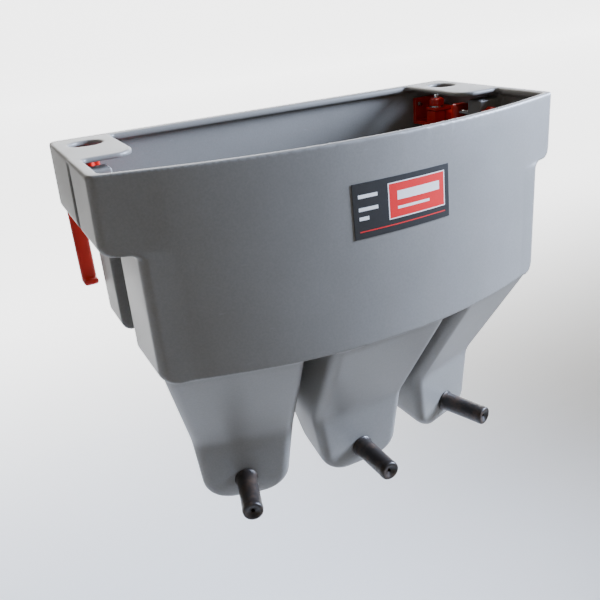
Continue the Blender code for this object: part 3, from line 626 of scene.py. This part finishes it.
def place_along(thing, direction, place):
    """Turn a piece made about Z to a direction and move it, in its mesh."""
    turn = Vector(direction).to_track_quat('Z', 'Y').to_matrix().to_4x4()
    thing.data.transform(Matrix.Translation(place) @ turn)
    thing.data.update()


def shade(thing, degrees=40):
    """Shade round stretches smooth and keep real edges sharp."""
    make_active(thing)
    bpy.ops.object.shade_smooth_by_angle(angle=math.radians(degrees))


def make_teat(side, word, rubber):
    """A pull-through teat: inner flange, neck, collar, tapering barrel and dished tip with its outlet."""
    neck, collar, flange = TEAT_NECK / 2, TEAT_COLLAR / 2, TEAT_FLANGE / 2
    root, tip, dish, outlet = TEAT_ROOT / 2, TEAT_TIP / 2, TEAT_DISH / 2, TEAT_OUTLET / 2
    inside = -WALL - TOUCH
    flange_middle = inside - TEAT_FLANGE_THICKNESS + TEAT_FLANGE_ROUND
    barrel = TEAT_LENGTH - TEAT_BARREL_END - TEAT_ROOT_END
    profile = [(outlet, inside - TEAT_FLANGE_THICKNESS)]
    profile += arc((flange - TEAT_FLANGE_ROUND, flange_middle), TEAT_FLANGE_ROUND, -90, 90, 8)
    profile += [(neck, inside), (neck, TOUCH)]
    profile += arc((collar - TEAT_COLLAR_ROUND, TOUCH + TEAT_COLLAR_ROUND), TEAT_COLLAR_ROUND, -90, 60, 6)
    profile += [(root + TEAT_ROOT_FLARE, TEAT_ROOT_START), (root, TEAT_ROOT_END)]
    for i in range(TEAT_BARREL_STEPS):
        share = (i + 1) / TEAT_BARREL_STEPS
        profile.append((root + (tip - root) * share ** TEAT_TAPER, TEAT_ROOT_END + barrel * share))
    profile.append((tip + TEAT_BEAD, TEAT_LENGTH - TEAT_BEAD_REAR))
    profile.append((tip + TEAT_BEAD, TEAT_LENGTH - TEAT_BEAD_FRONT))
    profile += arc((tip - TEAT_END_ROUND, TEAT_LENGTH - TEAT_END_ROUND), TEAT_END_ROUND, 15, 90, 6)
    profile += [(dish + TEAT_DISH_LIP, TEAT_LENGTH), (dish, TEAT_LENGTH - TEAT_DISH_STEP)]
    profile.append((outlet + TEAT_OUTLET_LIP, TEAT_LENGTH - TEAT_DISH_DEPTH))
    profile.append((outlet, TEAT_LENGTH - TEAT_OUTLET_START))
    teat = spun("rubber_teat_" + word, profile, TEAT_SIDES)
    _, outward, _ = leg_frame(side)
    place_along(teat, (*outward, 0.0), leg_point(side, 0.0, FACE_SETBACK, TEAT_DROP))
    shade(teat, 50)
    finish(teat, rubber)
    ride_with(teat, "tank", "rubber", "teat_" + word)


def make_knob(name, diameter, length, direction, place, red):
    """A five-lobed hand nut with rounded ends and a raised boss round its bore."""
    bore, outer = NUT_BORE / 2, diameter / 2
    boss = bore + KNOB_BOSS
    shoulder = length - KNOB_BOSS_HEIGHT
    profile = [(bore, 0.0)]
    profile += arc((outer - KNOB_ROUND, KNOB_ROUND), KNOB_ROUND, -90, 0, 5)
    profile += arc((outer - KNOB_ROUND, shoulder - KNOB_ROUND), KNOB_ROUND, 0, 90, 5)
    profile += [(boss + KNOB_BOSS_SLOPE, shoulder), (boss, length), (bore + KNOB_BORE_CHAMFER, length)]
    knob = spun(name, profile, KNOB_SIDES)
    for vertex in knob.data.vertices:
        radius = math.hypot(vertex.co.x, vertex.co.y)
        share = max(0.0, (radius - boss) / (outer - boss))
        wave = 0.5 - 0.5 * math.cos(KNOB_LOBES * math.atan2(vertex.co.y, vertex.co.x))
        squeeze = 1 - KNOB_DIP * share * wave ** KNOB_WAVE / max(radius, bore)
        vertex.co.x *= squeeze
        vertex.co.y *= squeeze
    place_along(knob, direction, place)
    shade(knob)
    finish(knob, red)
    return knob


# Hooks

def pick(thing, normal, where=lambda center: True):
    """In edit mode, select only the faces that look along a normal and whose centre passes a test."""
    bm = bmesh.from_edit_mesh(thing.data)
    for item in list(bm.verts) + list(bm.edges) + list(bm.faces):
        item.select = False
    for face in bm.faces:
        if face.normal.dot(Vector(normal)) > 0.9 and where(face.calc_center_median()):
            face.select = True
    bm.select_flush_mode()
    bmesh.update_edit_mesh(thing.data)


def pull(vector):
    """Extrude the selected faces along a vector."""
    bpy.ops.mesh.extrude_region_move(TRANSFORM_OT_translate={"value": vector})


def start_cube(name, low, high):
    """Add a cube between two corners and apply its place and size."""
    bpy.ops.object.select_all(action='DESELECT')
    center = [(a + b) / 2 for a, b in zip(low, high)]
    bpy.ops.mesh.primitive_cube_add(size=1.0, location=center)
    thing = bpy.context.object
    thing.name = name
    thing.scale = [b - a for a, b in zip(low, high)]
    bpy.ops.object.transform_apply(location=True, rotation=True, scale=True)
    return thing


def mirror_piece(thing, side):
    """Mirror a finished piece to the left end and turn its faces out again."""
    if side > 0:
        return
    thing.data.transform(Matrix.Scale(-1, 4, (1, 0, 0)))
    thing.data.flip_normals()


def make_hook(side, word, red):
    """The hook: arm, upright end plate for the stud, long leg that flares a little, and lip under it."""
    inner, outer = HOOK_X - HOOK_WIDTH / 2, HOOK_X + HOOK_WIDTH / 2
    hook = start_cube("rail_hook_" + word, (inner, RAIL_GAP, ARM_UNDER), (outer, HOOK_BACK, ARM_TOP))
    make_active(hook)
    bpy.ops.object.mode_set(mode='EDIT')
    pick(hook, (0, -1, 0))
    pull((0, PLATE_BACK - RAIL_GAP, 0))
    pull((0, ARM_FRONT - PLATE_BACK, 0))
    pick(hook, (0, 0, 1), lambda center: center.y < PLATE_BACK)
    pull((0, 0, PLATE_TOP - ARM_TOP))
    pick(hook, (-1, 0, 0), lambda center: center.y < PLATE_BACK)
    pull((PLATE_INNER_X - inner, 0, 0))
    pick(hook, (0, 0, -1), lambda center: center.y > RAIL_GAP)
    pull((0, 0, -HOOK_FLARE_DROP))
    pull((0, 0, LIP_TOP - ARM_UNDER + HOOK_FLARE_DROP))
    pull((0, 0, HOOK_FOOT - LIP_TOP))
    pick(hook, (0, -1, 0), lambda center: center.z < LIP_TOP)
    pull((0, LIP_FRONT - RAIL_GAP, 0))
    bpy.ops.object.mode_set(mode='OBJECT')
    for vertex in hook.data.vertices:
        if vertex.co.z < ARM_UNDER - HOOK_FLARE_DROP / 2:
            vertex.co.x += HOOK_FLARE if vertex.co.x > HOOK_X else -HOOK_FLARE
    apply_step(hook, 'BEVEL', width=HOOK_ROUND, segments=5, limit_method='ANGLE',
               angle_limit=math.radians(40))
    mirror_piece(hook, side)
    shade(hook, 60)
    finish(hook, red)
    ride_with(hook, "rail_hook_" + word, "red_nylon", "hook_" + word)


# Label

def printed(along, up):
    """The ink at a place on the label: a red panel with a white edge and bars, side bars and a line."""
    def on(field):
        return field[0] < along < field[2] and field[1] < up < field[3]

    if on(LABEL_PANEL):
        bare = on(LABEL_FIELD) and not any(on(bar) for bar in LABEL_FIELD_BARS)
        return LABEL_RED if bare else LABEL_WHITE
    if any(on(bar) for bar in LABEL_SIDE_BARS):
        return LABEL_WHITE
    return LABEL_RED if on(LABEL_LINE) else LABEL_DARK


def make_label(dark, red, white):
    """A thin laminated plate on the bowed front, with a plain generic pattern of bars."""
    fields = (LABEL_PANEL, LABEL_FIELD, LABEL_LINE, *LABEL_FIELD_BARS, *LABEL_SIDE_BARS)
    columns = {0.0, LABEL_WIDTH, *LABEL_BOW_COLUMNS}
    rows = {0.0, LABEL_HEIGHT, *LABEL_BOW_ROWS}
    for left, low, right, high in fields:
        columns.update((left, right))
        rows.update((low, high))
    columns = sorted(columns)
    rows = sorted(rows)
    bm = bmesh.new()
    foot = RIM_Z - LABEL_DROP - LABEL_HEIGHT / 2

    def sheet(out):
        grid = []
        for along in columns:
            x = LABEL_X + along - LABEL_WIDTH / 2
            stretch = math.sqrt(1 + front_slope(x, LABEL_DROP) ** 2)
            line = []
            for up in rows:
                height = foot + up
                line.append(bm.verts.new((x, front_y(x, RIM_Z - height) - out * stretch, height)))
            grid.append(line)
        return grid

    front = sheet(LABEL_FACE)
    rear = sheet(LABEL_BACK)
    for i in range(len(columns) - 1):
        for j in range(len(rows) - 1):
            face = bm.faces.new((front[i][j], front[i + 1][j], front[i + 1][j + 1], front[i][j + 1]))
            bm.faces.new((rear[i][j], rear[i][j + 1], rear[i + 1][j + 1], rear[i + 1][j]))
            face.material_index = printed((columns[i] + columns[i + 1]) / 2, (rows[j] + rows[j + 1]) / 2)
    edge_front = [line[0] for line in front] + front[-1][1:] + [line[-1] for line in reversed(front[:-1])]
    edge_front += list(reversed(front[0][1:-1]))
    edge_rear = [line[0] for line in rear] + rear[-1][1:] + [line[-1] for line in reversed(rear[:-1])]
    edge_rear += list(reversed(rear[0][1:-1]))
    count = len(edge_front)
    for i in range(count):
        j = (i + 1) % count
        bm.faces.new((edge_front[j], edge_front[i], edge_rear[i], edge_rear[j]))
    label = mesh_object("label_plate", bm)
    indices = [polygon.material_index for polygon in label.data.polygons]
    finish(label, dark, red, white)
    for polygon, index in zip(label.data.polygons, indices):
        polygon.material_index = index
    shade(label)
    ride_with(label, "tank", "label_film", "label")


# Materials, where a noise of scale 1000 has marks about 1 mm across

def linear(code):
    """Turn an sRGB hex colour into linear RGBA."""
    channels = []
    for i in (1, 3, 5):
        value = int(code[i:i + 2], 16) / 255
        channels.append(value / 12.92 if value <= 0.04045 else ((value + 0.055) / 1.055) ** 2.4)
    return (*channels, 1.0)


def add(material, kind, inputs=None, **settings):
    """Add one shader node, set what it is given and link what comes from another node."""
    made = material.node_tree.nodes.new("ShaderNode" + kind)
    for name, value in settings.items():
        setattr(made, name, value)
    for name, value in (inputs or {}).items():
        if isinstance(value, bpy.types.NodeSocket):
            material.node_tree.links.new(value, made.inputs[name])
        else:
            made.inputs[name].default_value = value
    return made


def start_material(name, roughness, ior, metallic=0.0):
    """A Principled material with its constants set on the shader itself."""
    material = bpy.data.materials.new(name)
    material.use_nodes = True
    shader = material.node_tree.nodes["Principled BSDF"]
    shader.inputs["Roughness"].default_value = roughness
    shader.inputs["Metallic"].default_value = metallic
    if not metallic:
        shader.inputs["IOR"].default_value = ior
    return material, shader


def rotomoulded_polyethylene():
    """Rotomoulded LLDPE, ground-powder grey: satin, faintly mottled, with orange peel and scuffs.

    The powder grain is drawn at 2 mm, coarser than real, so that it shows. The orange peel is about 4 mm
    across, and a scuff about 24 mm long and 4 mm wide.
    """
    material, shader = start_material("rotomoulded_lldpe_grey", 0.42, 1.51)
    links = material.node_tree.links
    place = add(material, "TexCoord").outputs["Object"]
    clouds = add(material, "TexNoise", {"Vector": place, "Scale": 7.0, "Detail": 4.0, "Roughness": 0.6})
    powder = add(material, "TexNoise", {"Vector": place, "Scale": 420.0, "Detail": 2.0})
    grey = add(material, "Mix", {0: clouds.outputs["Fac"], 6: linear("#767470"), 7: linear("#83817d")},
               data_type='RGBA')
    speck = add(material, "MapRange", {"Value": powder.outputs["Fac"], "From Min": 0.35, "From Max": 0.65,
                                       "To Min": 0.96, "To Max": 1.04})
    speckled = add(material, "Mix", {0: 1.0, 6: grey.outputs[2], 7: speck.outputs["Result"]},
                   data_type='RGBA', blend_type='MULTIPLY')
    stretched = add(material, "Mapping", {"Vector": place, "Scale": (16.0, 16.0, 90.0),
                                          "Rotation": (0.5, 0.3, 0.7)})
    scratch = add(material, "TexNoise", {"Vector": stretched.outputs["Vector"], "Scale": 2.6, "Detail": 6.0,
                                         "Roughness": 0.7})
    scuff = add(material, "MapRange", {"Value": scratch.outputs["Fac"], "From Min": 0.66, "From Max": 0.78,
                                       "To Min": 0.0, "To Max": 0.35})
    scuffed = add(material, "Mix", {0: scuff.outputs["Result"], 6: speckled.outputs[2],
                                    7: linear("#a6a8a9")}, data_type='RGBA')
    links.new(scuffed.outputs[2], shader.inputs["Base Color"])
    gloss = add(material, "MapRange", {"Value": clouds.outputs["Fac"], "From Min": 0.3, "From Max": 0.7,
                                       "To Min": 0.36, "To Max": 0.46})
    rough = add(material, "Math", {0: gloss.outputs["Result"], 1: scuff.outputs["Result"]}, operation='ADD')
    links.new(rough.outputs["Value"], shader.inputs["Roughness"])
    peel = add(material, "TexNoise", {"Vector": place, "Scale": 260.0, "Detail": 3.0, "Roughness": 0.5})
    bump = add(material, "Bump", {"Height": peel.outputs["Fac"], "Strength": 0.10, "Distance": 0.0006})
    links.new(bump.outputs["Normal"], shader.inputs["Normal"])
    return material


def moulded_nylon():
    """Injection-moulded nylon 6 in signal red: satin gloss with slight flow shading.

    The mould's fine texture is drawn at 1 mm, coarser than real, so that it shows.
    """
    material, shader = start_material("moulded_nylon_red", 0.33, 1.53)
    links = material.node_tree.links
    place = add(material, "TexCoord").outputs["Object"]
    flow = add(material, "TexNoise", {"Vector": place, "Scale": 38.0, "Detail": 3.0, "Distortion": 0.6})
    red = add(material, "Mix", {0: flow.outputs["Fac"], 6: linear("#c01a10"), 7: linear("#d8281a")},
              data_type='RGBA')
    links.new(red.outputs[2], shader.inputs["Base Color"])
    grain = add(material, "TexNoise", {"Vector": place, "Scale": 900.0, "Detail": 2.0})
    rough = add(material, "MapRange", {"Value": flow.outputs["Fac"], "From Min": 0.3, "From Max": 0.7,
                                       "To Min": 0.28, "To Max": 0.40})
    links.new(rough.outputs["Result"], shader.inputs["Roughness"])
    bump = add(material, "Bump", {"Height": grain.outputs["Fac"], "Strength": 0.12, "Distance": 0.0003})
    links.new(bump.outputs["Normal"], shader.inputs["Normal"])
    return material


def moulded_rubber():
    """Moulded natural rubber, brown-black: soft sheen with brown handling marks and a matt bloom."""
    material, shader = start_material("moulded_natural_rubber", 0.42, 1.52)
    links = material.node_tree.links
    place = add(material, "TexCoord").outputs["Object"]
    bloom = add(material, "TexNoise", {"Vector": place, "Scale": 60.0, "Detail": 5.0, "Roughness": 0.65})
    marks = add(material, "MapRange", {"Value": bloom.outputs["Fac"], "From Min": 0.48, "From Max": 0.72})
    brown = add(material, "Mix", {0: marks.outputs["Result"], 6: linear("#211b18"), 7: linear("#4c3a2c")},
                data_type='RGBA')
    links.new(brown.outputs[2], shader.inputs["Base Color"])
    rough = add(material, "MapRange", {"Value": bloom.outputs["Fac"], "From Min": 0.35, "From Max": 0.65,
                                       "To Min": 0.34, "To Max": 0.55})
    links.new(rough.outputs["Result"], shader.inputs["Roughness"])
    skin = add(material, "TexNoise", {"Vector": place, "Scale": 700.0, "Detail": 2.0})
    bump = add(material, "Bump", {"Height": skin.outputs["Fac"], "Strength": 0.15, "Distance": 0.0004})
    links.new(bump.outputs["Normal"], shader.inputs["Normal"])
    return material


def headed_stainless():
    """Cold-headed A2 stainless steel: bright, with a fine grain and a little smear."""
    material, shader = start_material("headed_stainless_a2", 0.26, 0.0, 1.0)
    links = material.node_tree.links
    place = add(material, "TexCoord").outputs["Object"]
    smear = add(material, "TexNoise", {"Vector": place, "Scale": 180.0, "Detail": 4.0})
    steel = add(material, "Mix", {0: smear.outputs["Fac"], 6: linear("#b4b2ad"), 7: linear("#cfcdc8")},
                data_type='RGBA')
    links.new(steel.outputs[2], shader.inputs["Base Color"])
    rough = add(material, "MapRange", {"Value": smear.outputs["Fac"], "To Min": 0.18, "To Max": 0.34})
    links.new(rough.outputs["Result"], shader.inputs["Roughness"])
    grain = add(material, "TexNoise", {"Vector": place, "Scale": 1600.0, "Detail": 1.0})
    bump = add(material, "Bump", {"Height": grain.outputs["Fac"], "Strength": 0.1, "Distance": 0.0001})
    links.new(bump.outputs["Normal"], shader.inputs["Normal"])
    return material


def laminated_vinyl(name, dark, light):
    """Printed vinyl under a clear laminate: even ink with a faint print grain and a smooth top coat."""
    material, shader = start_material(name, 0.38, 1.52)
    links = material.node_tree.links
    shader.inputs["Coat Weight"].default_value = 0.35
    shader.inputs["Coat Roughness"].default_value = 0.2
    place = add(material, "TexCoord").outputs["Object"]
    print_grain = add(material, "TexNoise", {"Vector": place, "Scale": 520.0, "Detail": 2.0})
    ink = add(material, "Mix", {0: print_grain.outputs["Fac"], 6: linear(dark), 7: linear(light)},
              data_type='RGBA')
    links.new(ink.outputs[2], shader.inputs["Base Color"])
    return material


def studio_paper():
    """Matt white studio paper that glows behind the feeder, and much less beyond its left end."""
    material, shader = start_material("studio_paper", 0.9, 1.45)
    shader.inputs["Base Color"].default_value = linear("#efefef")
    shader.inputs["Emission Color"].default_value = linear("#ffffff")
    place = add(material, "TexCoord").outputs["Object"]
    parts = add(material, "SeparateXYZ", {"Vector": place})
    behind = add(material, "MapRange",
                 {"Value": parts.outputs["Y"], "From Min": GLOW_START, "From Max": GLOW_END,
                  "To Min": 0.0, "To Max": GLOW_STRENGTH}, interpolation_type='SMOOTHSTEP')
    beside = add(material, "MapRange",
                 {"Value": parts.outputs["X"], "From Min": GLOW_LEFT_START, "From Max": GLOW_LEFT_END,
                  "To Min": GLOW_LEFT_SHARE, "To Max": 1.0}, interpolation_type='SMOOTHSTEP')
    glow = add(material, "Math", {0: behind.outputs["Result"], 1: beside.outputs["Result"]},
               operation='MULTIPLY')
    material.node_tree.links.new(glow.outputs["Value"], shader.inputs["Emission Strength"])
    return material


def make_floor():
    """A pale floor well below the hanging feeder, swept up to a backdrop far behind it."""
    bpy.ops.object.select_all(action='DESELECT')
    bpy.ops.mesh.primitive_plane_add(size=FLOOR_SIZE, location=(0, 0, FLOOR_Z))
    floor = bpy.context.object
    floor.name = "studio_floor"
    floor.scale.x = FLOOR_WIDTH / FLOOR_SIZE
    bpy.ops.object.transform_apply(location=True, rotation=True, scale=True)
    bpy.ops.object.mode_set(mode='EDIT')
    bm = bmesh.from_edit_mesh(floor.data)
    for item in list(bm.verts) + list(bm.edges) + list(bm.faces):
        item.select = False
    for edge in bm.edges:
        if all(vertex.co.y > 0 for vertex in edge.verts):
            edge.select = True
    bm.select_flush_mode()
    bmesh.update_edit_mesh(floor.data)
    bpy.ops.mesh.extrude_region_move(TRANSFORM_OT_translate={"value": (0, 0, BACKDROP_HEIGHT)})
    bpy.ops.object.mode_set(mode='OBJECT')
    apply_step(floor, 'BEVEL', width=BACKDROP_SWEEP, segments=12, limit_method='ANGLE')
    shade(floor, 60)
    floor.data.materials.append(studio_paper())


def make_light(name, place, size, power, tint, spread):
    """A soft square lamp aimed at the feeder, with a grid in front of it where its spread is narrow."""
    data = bpy.data.lights.new(name, 'AREA')
    data.size = size
    data.energy = power
    data.spread = math.radians(spread)
    data.color = linear(tint)[:3]
    lamp = bpy.data.objects.new(name, data)
    lamp.location = place
    lamp.rotation_mode = 'QUATERNION'
    lamp.rotation_quaternion = (Vector(LAMP_AIM) - Vector(place)).to_track_quat('-Z', 'Y')
    bpy.context.collection.objects.link(lamp)


def make_lights():
    """Dim warm room light, a cool key from the right, a faint lamp at the left end and one above."""
    world = bpy.data.worlds.new("dim_room")
    world.use_nodes = True
    background = world.node_tree.nodes["Background"]
    background.inputs["Color"].default_value = linear(ROOM_TINT)
    background.inputs["Strength"].default_value = ROOM_STRENGTH
    bpy.context.scene.world = world
    for lamp in LAMPS:
        make_light(*lamp)


def make_camera():
    """The photograph's view."""
    data = bpy.data.cameras.new("photo_camera")
    data.sensor_width = SENSOR
    data.lens = FOCAL_PIXELS / IMAGE_PIXELS * SENSOR
    data.clip_start = CLIP_NEAR
    data.clip_end = CLIP_FAR
    camera = bpy.data.objects.new("photo_camera", data)
    right, up = Vector(CAMERA_RIGHT), Vector(CAMERA_UP)
    axes = Matrix((right, up, right.cross(up))).transposed()
    camera.matrix_world = Matrix.Translation(CAMERA_PLACE) @ axes.to_4x4()
    bpy.context.collection.objects.link(camera)
    bpy.context.scene.camera = camera


def finish_cad_nodes(red, steel):
    """Give every CAD node that stays in view its real finish."""
    slots = {row["node"]: row["material_slot"] for row in frame["record"]["subparts"]}
    finishes = {"red_nylon": red, "stainless": steel}
    for name, thing in frame["nodes"].items():
        if slots[name] in finishes:
            finish(thing, finishes[slots[name]])


def main():
    red = moulded_nylon()
    steel = headed_stainless()
    rubber = moulded_rubber()
    make_tank()
    for side, word in PLACES:
        make_teat(side, word, rubber)
    make_label(laminated_vinyl("printed_vinyl_charcoal", "#1d1d1e", "#282829"),
               laminated_vinyl("printed_vinyl_red", "#d4121c", "#e01c24"),
               laminated_vinyl("printed_vinyl_white", "#e4e2df", "#f2f0ee"))
    for side, word in SIDES:
        make_hook(side, word, red)
        draw = make_knob("draw_knob_" + word, DRAW_KNOB, DRAW_KNOB_LENGTH, (0, -1, 0),
                         (side * STUD_X, -DRAW_KNOB_START, STUD_Z), red)
        ride_with(draw, "draw_hand_nut_" + word, "red_nylon", "draw_nut_" + word)
        lock = make_knob("lock_knob_" + word, LOCK_KNOB, LOCK_KNOB_LENGTH, (0, 0, 1),
                         (side * LOCK_X, -LOCK_Y, LOCK_KNOB_START), red)
        ride_with(lock, "lock_hand_nut_" + word, "red_nylon", "lock_nut_" + word)
    finish_cad_nodes(red, steel)
    make_floor()
    make_lights()
    make_camera()


main()
